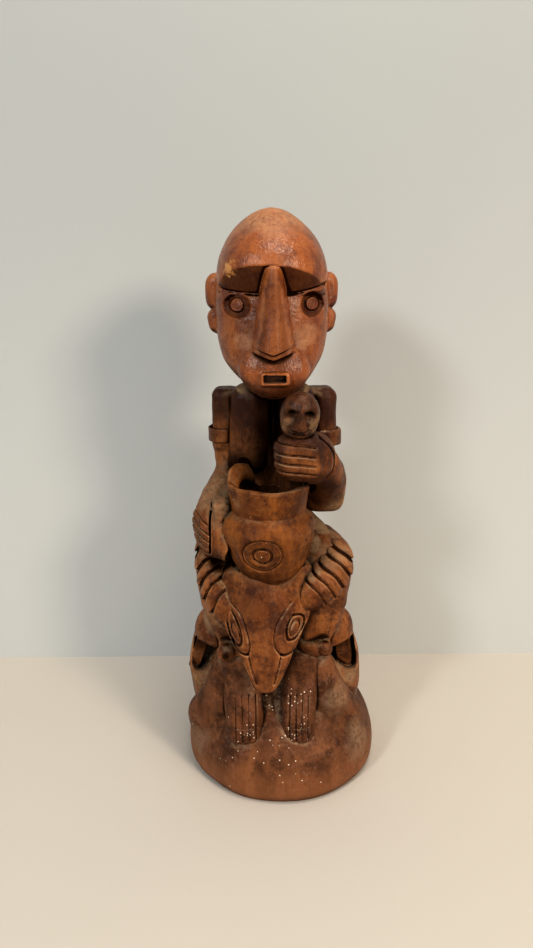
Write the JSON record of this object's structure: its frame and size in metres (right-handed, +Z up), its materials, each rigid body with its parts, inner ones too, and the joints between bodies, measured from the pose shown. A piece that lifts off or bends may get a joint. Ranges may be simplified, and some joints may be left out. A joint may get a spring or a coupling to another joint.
{
  "type": "carved wooden figure",
  "caption": "Squatting carved wooden figure on a domed base, holding a pot on a horned animal's head and gripping a loose head-topped pestle that stands in the pot.",
  "frame": {"origin": "centre of the flat underside of the round base", "axes": "+Z up from the base to the crown; the figure faces -Y; +X is the figure's own left, which is the viewer's right"},
  "size_m": [0.13, 0.124, 0.36],
  "materials": {
    "head_wood": "polished reddish-brown wood, rubbed brow and nose",
    "body_wood": "dull dark brown patina with dust in the cuts",
    "pot_wood": "satin orange-brown wood",
    "base_wood": "dull mottled brown with fine pale specks",
    "pestle_wood": "dull grey-brown with pale dust on the cheeks"
  },
  "bodies": {
    "carving": {"head": "head_wood", "torso": "body_wood", "trunk": "body_wood", "left_arm": "body_wood", "right_arm": "body_wood", "left_armband": "body_wood", "right_armband": "body_wood", "pot": "pot_wood", "animal_head": "body_wood", "left_horn": "body_wood", "right_horn": "body_wood", "left_leg": "body_wood", "right_leg": "body_wood", "left_anklet": "body_wood", "right_anklet": "body_wood", "left_foot": "base_wood", "right_foot": "base_wood", "left_side_loop": "body_wood", "right_side_loop": "body_wood", "base": "base_wood"},
    "pestle": {"pestle": "pestle_wood"}
  },
  "joints": [
    {"name": "pestle_lift", "type": "slide", "parent": "carving", "child": "pestle", "axis": [0.108, -0.2411, 0.9645], "range_m": [0, 0.09]}
  ]
}
